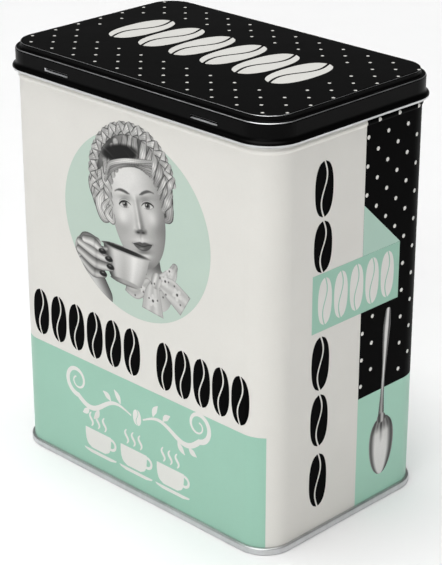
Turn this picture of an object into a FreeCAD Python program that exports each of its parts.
"""Coffee tin: a lithographed tinplate canister with a hinged lid.

Frame: millimetres, +Z up, origin at the middle of the base, front face towards -Y.
Six pieces: body_wall, bottom_panel, lid, hinge_wire, hinge_strap_left, hinge_strap_right.

Every sheet-metal piece is drawn as one face of its cross-section, a path of straight runs and
tangent bends. The path is thickened by the sheet's gauge and then swept round the tin or, for
a hinge strap, extruded. A path keeps the metal on its left as it is walked.
"""

import FreeCAD, Part
import math
import os
import re
import Sketcher

Vector = FreeCAD.Vector

# name: (value in millimetres, meaning)
DRIVING_SIZES = {
    "width": (148.0, "outside of the wall, left to right"),
    "depth": (94.0, "outside of the wall, front to back"),
    "height": (182.0, "rim to lid panel with the lid closed"),
    "corner": (12.5, "outside radius of the wall's upright corners"),
    "gauge": (0.3, "thickness of the tinplate"),
    "rim_proud": (1.3, "how far the bottom seam stands out from the wall"),
    "rim_high": (3.0, "height of the bottom seam"),
    "rim_bend": (0.6, "radius of the bottom seam's edges"),
    "base_recess": (2.7, "how far the bottom panel sits above the table"),
    "chuck_inset": (0.65, "inner face of the bottom seam, in from the wall's outside"),
    "hook_gap": (0.2, "radius inside the wall's turned-up bottom hook"),
    "hook_turn": (1.2, "height where the wall turns up into its bottom hook"),
    "hook_end": (2.25, "height of the bottom hook's free end"),
    "lip_gap": (0.02, "gap between the bottom seam's lip and the wall"),
    "bead_level": (168.4, "height of the middle of the bead under the lid"),
    "bead_root": (0.9, "radius where the bead leaves the wall"),
    "bead_crown": (1.2, "radius of the bead's crown"),
    "neck_inset": (1.9, "neck's outside, in from the wall's outside"),
    "neck_top": (179.2, "top of the curled edge of the neck"),
    "neck_bend": (0.6, "radius of the two bends between wall and neck"),
    "neck_curl": (0.45, "radius inside the curled edge of the neck"),
    "seam_wide": (5.0, "width of the lock seam down the back"),
    "seam_place": (-50.0, "where the lock seam is, left to right"),
    "seam_foot": (3.5, "height of the lock seam's lower end"),
    "seam_long": (161.4, "length of the lock seam"),
    "seam_groove": (0.12, "depth of the lock seam's line on the outside"),
    "lid_proud": (1.2, "how far the skirt stands out from the wall"),
    "panel_inset": (2.1, "lid panel's edge, in from the skirt's outside"),
    "panel_edge": (0.7, "radius of the lid panel's edge"),
    "step_foot": (0.5, "radius at the foot of the lid's step"),
    "step_drop": (2.2, "lid panel down to the ledge round it"),
    "ledge_edge": (0.9, "radius between ledge and skirt"),
    "cove": (1.65, "radius of the hollow between skirt and hem"),
    "hem": (1.25, "outside radius of the rolled hem"),
    "hem_level": (171.6, "height of the hem's middle, which is the hinge's axis"),
    "dent_long": (14.5, "length of a snap dent"),
    "dent_high": (1.8, "height of a snap dent"),
    "dent_deep": (0.6, "depth of a snap dent"),
    "dent_level": (175.1, "height of the middle of a snap dent"),
    "dent_spread": (41.5, "middle of the tin to the middle of a snap dent"),
    "wire": (0.88, "radius of the hinge wire"),
    "wire_long": (112.0, "length of the hinge wire"),
    "strap_wide": (10.0, "width of a hinge strap"),
    "strap_spread": (38.0, "middle of the tin to the middle of a strap"),
    "strap_top": (176.4, "height of a strap's upper end on the neck"),
    "strap_bend": (0.8, "outside radius of a strap's bend off the neck"),
    "notch_gap": (0.35, "gap between a strap and the lid's notch, all round"),
    "plate_inset": (10.0, "where the flat panels end and the swept edges begin"),
}

BEAD_TURN = 40.0
COVE_TURN = 60.0
NECK_TURN = 45.0
HEM_ROLL = 265.0
STRAP_ROLL = 300.0
CURL_ROLL = 270.0

doc = FreeCAD.newDocument("coffee_tin")
sheet = doc.addObject("Spreadsheet::Sheet", "Sizes")


def fill_sheet():
    """Write one aliased cell for each driving size."""
    for row, (name, (value, meaning)) in enumerate(DRIVING_SIZES.items(), start=1):
        sheet.set(f"A{row}", name)
        sheet.set(f"B{row}", str(value))
        sheet.setAlias(f"B{row}", name)
        sheet.set(f"C{row}", meaning)
    doc.recompute()


def linked(formula):
    """A formula of aliases, written as other objects' expressions need it."""
    return re.sub("[a-z_]+", lambda m: f"Sizes.{m[0]}" if m[0] in DRIVING_SIZES else m[0], formula)


def number(formula):
    """The present value of a formula of aliases."""
    return float(sheet.evalExpression(linked(formula)))


# Formulas that several pieces share.
EDGE_X = "width / 2"
EDGE_Y = "depth / 2"
HEM_OUT = f"lid_proud + cove - (cove + hem) * cos({COVE_TURN} deg)"
COVE_START = f"hem_level + (cove + hem) * sin({COVE_TURN} deg)"
BEAD_START = f"bead_level - (bead_root + bead_crown) * sin({BEAD_TURN} deg)"
HINGE_Y = f"{EDGE_Y} + {HEM_OUT}"


def constrain(sketch, formula, kind, *places):
    """Add one constraint whose value follows a formula of the driving sizes."""
    index = sketch.addConstraint(Sketcher.Constraint(kind, *places, number(formula)))
    sketch.setExpression(f"Constraints[{index}]", linked(formula))


def upright_plane(across):
    """Placement of a sketch whose own x runs along `across` and whose own y runs up."""
    up = Vector(0, 0, 1)
    return FreeCAD.Placement(Vector(), FreeCAD.Rotation(across, up, across.cross(up), "XYZ"))


class SheetPath:
    """A sketch of straight runs and tangent bends, walked from a start point and a heading."""

    START, END = 1, 2

    def __init__(self, name, across, start_x, start_z, heading):
        self.sketch = doc.addObject("Sketcher::SketchObject", name)
        self.sketch.Placement = upright_plane(across)
        self.point = Vector(number(start_x), number(start_z), 0)
        self.heading = math.radians(heading)
        self.start = (start_x, start_z)
        self.last = None

    def direction(self, turned=0.0):
        angle = self.heading + turned
        return Vector(math.cos(angle), math.sin(angle), 0)

    def join(self, geometry, first_end, far_end):
        """Join a new piece of geometry to the path's end, tangent to it."""
        index = self.sketch.addGeometry(geometry)
        if self.last is None:
            constrain(self.sketch, self.start[0], "DistanceX", -1, 1, index, first_end)
            constrain(self.sketch, self.start[1], "DistanceY", -1, 1, index, first_end)
            level = abs(math.sin(self.heading)) < 0.5
            kind = "Horizontal" if level else "Vertical"
            self.sketch.addConstraint(Sketcher.Constraint(kind, index))
        else:
            self.sketch.addConstraint(Sketcher.Constraint("Tangent", *self.last, index, first_end))
        self.last = (index, far_end)
        return index

    def run(self, length, kind, target):
        end = self.point + self.direction() * length
        index = self.join(Part.LineSegment(self.point, end), self.START, self.END)
        constrain(self.sketch, target, kind, -1, 1, index, self.END)
        self.point = end
        return self

    def run_to_x(self, target):
        """Go straight on until the path's own x is `target`."""
        length = (number(target) - self.point.x) / self.direction().x
        return self.run(length, "DistanceX", target)

    def run_to_z(self, target):
        """Go straight on until the height is `target`."""
        length = (number(target) - self.point.y) / self.direction().y
        return self.run(length, "DistanceY", target)

    def bend(self, radius, turn):
        """Turn by `turn` degrees, to the left if it is positive, on an arc of `radius`."""
        sweep = math.radians(turn)
        side = math.copysign(math.pi / 2, sweep)
        size = number(radius)
        centre = self.point + self.direction(side) * size
        begin = self.heading - side
        circle = Part.Circle(centre, Vector(0, 0, 1), size)
        if sweep > 0:
            arc = Part.ArcOfCircle(circle, begin, begin + sweep)
            index = self.join(arc, self.START, self.END)
        else:
            arc = Part.ArcOfCircle(circle, begin + sweep, begin)
            index = self.join(arc, self.END, self.START)
        constrain(self.sketch, radius, "Radius", index)
        self.sketch.addConstraint(Sketcher.Constraint("Angle", index, abs(sweep)))
        self.heading += sweep
        self.point = centre + self.direction(-side) * size
        return self

    def thicken(self, offset="gauge"):
        """The closed cross-section, one gauge thick, with the metal on the path's left.

        An open path's offset counts from the side of its plane that the kernel finds first, so
        a path that is found from its far side gives a negative offset for the same left.
        """
        section = doc.addObject("Part::Offset2D", f"{self.sketch.Name}_section")
        section.Source = self.sketch
        section.Mode = "Skin"
        section.Fill = True
        section.setExpression("Value", linked(offset))
        return section


def rounded_rectangle(name, half_x, half_y, corner):
    """A sketched rounded rectangle that starts and ends at the middle of its right side."""
    sketch = doc.addObject("Sketcher::SketchObject", name)
    reach_x, reach_y, radius = number(half_x), number(half_y), number(corner)
    signs = [(1, 1), (-1, 1), (-1, -1), (1, -1)]
    centres = [Vector(sx * (reach_x - radius), sy * (reach_y - radius), 0) for sx, sy in signs]
    start = Vector(reach_x, 0, 0)
    point, last = start, None
    arcs, lines = [], []
    for quarter, centre in enumerate(centres):
        begin = quarter * math.pi / 2
        spoke = Vector(math.cos(begin), math.sin(begin), 0) * radius
        line = sketch.addGeometry(Part.LineSegment(point, centre + spoke))
        circle = Part.Circle(centre, Vector(0, 0, 1), radius)
        arc = sketch.addGeometry(Part.ArcOfCircle(circle, begin, begin + math.pi / 2))
        if last is not None:
            sketch.addConstraint(Sketcher.Constraint("Tangent", last, 2, line, 1))
        sketch.addConstraint(Sketcher.Constraint("Tangent", line, 2, arc, 1))
        point = centre + Vector(-spoke.y, spoke.x, 0)
        lines.append(line)
        arcs.append(arc)
        last = arc
    closing = sketch.addGeometry(Part.LineSegment(point, start))
    sketch.addConstraint(Sketcher.Constraint("Tangent", last, 2, closing, 1))
    sketch.addConstraint(Sketcher.Constraint("Coincident", closing, 2, lines[0], 1))
    sketch.addConstraint(Sketcher.Constraint("PointOnObject", lines[0], 1, -1))
    sketch.addConstraint(Sketcher.Constraint("Vertical", lines[0]))
    sketch.addConstraint(Sketcher.Constraint("Vertical", closing))
    sketch.addConstraint(Sketcher.Constraint("Horizontal", lines[1]))
    for arc in arcs[1:]:
        sketch.addConstraint(Sketcher.Constraint("Equal", arcs[0], arc))
    constrain(sketch, corner, "Radius", arcs[0])
    constrain(sketch, half_x, "DistanceX", -1, 1, lines[0], 1)
    constrain(sketch, half_y, "DistanceY", -1, 1, lines[1], 1)
    constrain(sketch, f"0 - {half_x}", "DistanceX", -1, 1, lines[2], 1)
    constrain(sketch, f"0 - {half_y}", "DistanceY", -1, 1, lines[3], 1)
    return sketch


def sweep_round(name, path, spine):
    """Sweep a path's thickened section round the tin."""
    sweep = doc.addObject("Part::Sweep", name)
    sweep.Sections = [path.thicken()]
    doc.recompute()
    sweep.Spine = (spine, [f"Edge{n}" for n in range(1, len(spine.Shape.Edges) + 1)])
    sweep.Solid = True
    return sweep


def extrude(name, outline, direction, length):
    """A straight extrusion of an outline."""
    solid = doc.addObject("Part::Extrusion", name)
    solid.Base = outline
    solid.DirMode = "Custom"
    solid.Dir = direction
    solid.Solid = True
    solid.setExpression("LengthFwd", linked(length))
    return solid


def panel(name, bottom):
    """A flat panel that fills the middle of the tin, its underside at the height `bottom`."""
    outline = rounded_rectangle(
        f"{name}_outline", "(width / 2 - plate_inset)", "(depth / 2 - plate_inset)",
        "corner - plate_inset")
    solid = extrude(name, outline, Vector(0, 0, 1), "gauge")
    place(solid, z=bottom)
    return solid


def box(name, length, width, height):
    """A box whose three sides follow formulas."""
    solid = doc.addObject("Part::Box", name)
    for side, formula in (("Length", length), ("Width", width), ("Height", height)):
        solid.setExpression(side, linked(formula))
    return solid


def place(solid, **corner):
    """Bind a solid's place along the named axes to formulas."""
    for axis, formula in corner.items():
        solid.setExpression(f"Placement.Base.{axis}", linked(formula))


def fuse(label, solids):
    """One solid made of several that touch."""
    union = doc.addObject("Part::MultiFuse", label)
    union.Shapes = solids
    union.Refine = True
    union.Label = label
    return union


def cut(label, base, tools):
    """A solid less several others."""
    tool = tools[0]
    if len(tools) > 1:
        tool = doc.addObject("Part::MultiFuse", f"{label}_tools")
        tool.Shapes = tools
    difference = doc.addObject("Part::Cut", label)
    difference.Base = base
    difference.Tool = tool
    difference.Refine = True
    difference.Label = label
    return difference


def make_body_wall(spine):
    """The printed wall: bottom hook, bead, inset neck, curled edge and lock seam."""
    path = SheetPath("wall_path", Vector(1, 0, 0), f"{EDGE_X} + 2 * hook_gap", "hook_end", -90)
    path.run_to_z("hook_turn")
    path.bend("hook_gap", -180)
    path.run_to_z(BEAD_START)
    path.bend("bead_root", -BEAD_TURN)
    path.bend("bead_crown", 2 * BEAD_TURN)
    path.bend("bead_root", -BEAD_TURN)
    path.run_to_z("hem_level - hem")
    path.bend("neck_bend", NECK_TURN)
    path.run_to_x(f"{EDGE_X} - neck_inset + neck_bend * (1 - cos({NECK_TURN} deg))")
    path.bend("neck_bend", -NECK_TURN)
    path.run_to_z("neck_top - gauge - neck_curl")
    path.bend("neck_curl", -CURL_ROLL)
    wall = sweep_round("wall_sweep", path, spine)

    seam = box("lock_seam", "seam_wide", "gauge", "seam_long")
    place(seam, x="seam_place - seam_wide / 2", y=f"{EDGE_Y} - 2 * gauge", z="seam_foot")
    groove = box("lock_seam_line", "gauge", "seam_groove", "seam_long")
    place(groove, x="seam_place", y=f"{EDGE_Y} - seam_groove", z="seam_foot")
    return cut("body_wall", fuse("wall_and_seam", [wall, seam]), [groove])


def make_bottom_panel(spine):
    """The bottom: a recessed panel and the double seam that the tin stands on."""
    path = SheetPath("bottom_path", Vector(1, 0, 0), f"{EDGE_X} - plate_inset", "base_recess", 0)
    path.run_to_x(f"{EDGE_X} - chuck_inset - hook_gap")
    path.bend("hook_gap", -90)
    path.run_to_z("rim_bend")
    path.bend("rim_bend", 90)
    path.run_to_x(f"{EDGE_X} + rim_proud - rim_bend")
    path.bend("rim_bend", 90)
    path.run_to_z("rim_high - rim_bend")
    path.bend("rim_bend", 90)
    path.run_to_x(f"{EDGE_X} + lip_gap")
    seam = sweep_round("bottom_seam", path, spine)
    return fuse("bottom_panel", [seam, panel("bottom_plate", "base_recess")])


def make_lid_sheet(spine):
    """The lid's edge, walked along the metal's underside: panel, step, skirt, cove and hem."""
    path = SheetPath("lid_path", Vector(1, 0, 0), f"{EDGE_X} - plate_inset", "height - gauge", 0)
    path.run_to_x(f"{EDGE_X} + lid_proud - panel_inset - panel_edge")
    path.bend("panel_edge - gauge", -90)
    path.run_to_z("height - step_drop + step_foot")
    path.bend("step_foot + gauge", 90)
    path.run_to_x(f"{EDGE_X} + lid_proud - ledge_edge")
    path.bend("ledge_edge - gauge", -90)
    path.run_to_z(COVE_START)
    path.bend("cove + gauge", COVE_TURN)
    path.bend("hem - gauge", -HEM_ROLL)
    return sweep_round("lid_sweep", path, spine)


def dent(name, side, grow, near, far):
    """A tapered block in the front skirt, `grow` larger all round than a dent's hollow."""
    block = doc.addObject("Part::Wedge", name)
    mouth_x, mouth_z = f"dent_long / 2 + {grow}", f"dent_high / 2 + {grow}"
    floor_x, floor_z = f"{mouth_x} - dent_deep", f"{mouth_z} - dent_deep"
    for axis, mouth, floor in (("X", mouth_x, floor_x), ("Z", mouth_z, floor_z)):
        block.setExpression(f"{axis}min", linked(f"0 - ({mouth})"))
        block.setExpression(f"{axis}max", linked(mouth))
        block.setExpression(f"{axis}2min", linked(f"0 - ({floor})"))
        block.setExpression(f"{axis}2max", linked(floor))
    block.setExpression("Ymin", linked(near))
    block.setExpression("Ymax", linked(far))
    place(block, x=f"{side} * dent_spread", y=f"0 - ({EDGE_Y} + lid_proud)", z="dent_level")
    return block


def hinge_cylinder(name, radius, length, middle):
    """A cylinder on the hinge's axis, its middle at `middle` left to right."""
    solid = doc.addObject("Part::Cylinder", name)
    solid.Placement = FreeCAD.Placement(Vector(), FreeCAD.Rotation(Vector(0, 1, 0), 90))
    solid.setExpression("Radius", linked(radius))
    solid.setExpression("Height", linked(length))
    place(solid, x=f"{middle} - ({length}) / 2", y=HINGE_Y, z="hem_level")
    return solid


def make_lid(spine):
    """The lid pressing, with its snap dents in front and its hinge notches behind."""
    solids = [make_lid_sheet(spine), panel("lid_plate", "height - gauge")]
    hollows = []
    for side, word in ((-1, "left"), (1, "right")):
        solids.append(dent(f"dent_back_{word}", side, "gauge", "gauge / 2", "dent_deep + gauge"))
        hollows.append(dent(f"dent_{word}", side, "0", "0 - gauge", "dent_deep"))
        hollows.append(hinge_cylinder(
            f"notch_{word}", "hem + notch_gap", "strap_wide + 2 * notch_gap",
            f"{side} * strap_spread"))
    return cut("lid", fuse("lid_blank", solids), hollows)


def make_hinge_wire():
    """The straight wire in the lid's back hem."""
    wire = hinge_cylinder("hinge_wire", "wire", "wire_long", "0")
    wire.Label = "hinge_wire"
    return wire


def make_strap_section():
    """A strap's cross-section: down the neck, out over the wire and round it."""
    path = SheetPath("strap_path", Vector(0, 1, 0), f"{EDGE_Y} - neck_inset", "strap_top", -90)
    path.run_to_z("hem_level + hem - gauge + strap_bend")
    path.bend("strap_bend", 90)
    path.run_to_x(HINGE_Y)
    path.bend("hem - gauge", -STRAP_ROLL)
    return path.thicken("0 - gauge")


def make_hinge_strap(section, side, word):
    """One of the two straps that hold the lid's wire to the neck."""
    label = f"hinge_strap_{word}"
    strap = extrude(label, section, Vector(1, 0, 0), "strap_wide")
    place(strap, x=f"{side} * strap_spread - strap_wide / 2")
    strap.Label = label
    return strap


def check(pieces):
    """Stop if any object failed, or any piece isn't one valid solid."""
    for item in doc.Objects:
        if "Invalid" in item.State or "Error" in item.State:
            raise RuntimeError(f"{item.Label} failed: {item.State}")
    for piece in pieces:
        shape = piece.Shape
        if shape.isNull() or not shape.isValid() or len(shape.Solids) != 1:
            raise RuntimeError(f"{piece.Label} isn't one valid solid")
        print(f"{piece.Label}: {shape.Volume:.1f} cubic mm, {len(shape.Faces)} faces")


def main():
    fill_sheet()
    spine = rounded_rectangle("wall_line", EDGE_X, EDGE_Y, "corner")
    section = make_strap_section()
    pieces = [make_body_wall(spine), make_bottom_panel(spine), make_lid(spine), make_hinge_wire()]
    for side, word in ((-1, "left"), (1, "right")):
        pieces.append(make_hinge_strap(section, side, word))
    doc.recompute()
    check(pieces)
    os.makedirs("parts", exist_ok=True)
    for piece in pieces:
        piece.Shape.exportStep(f"parts/{piece.Label}.step")


main()
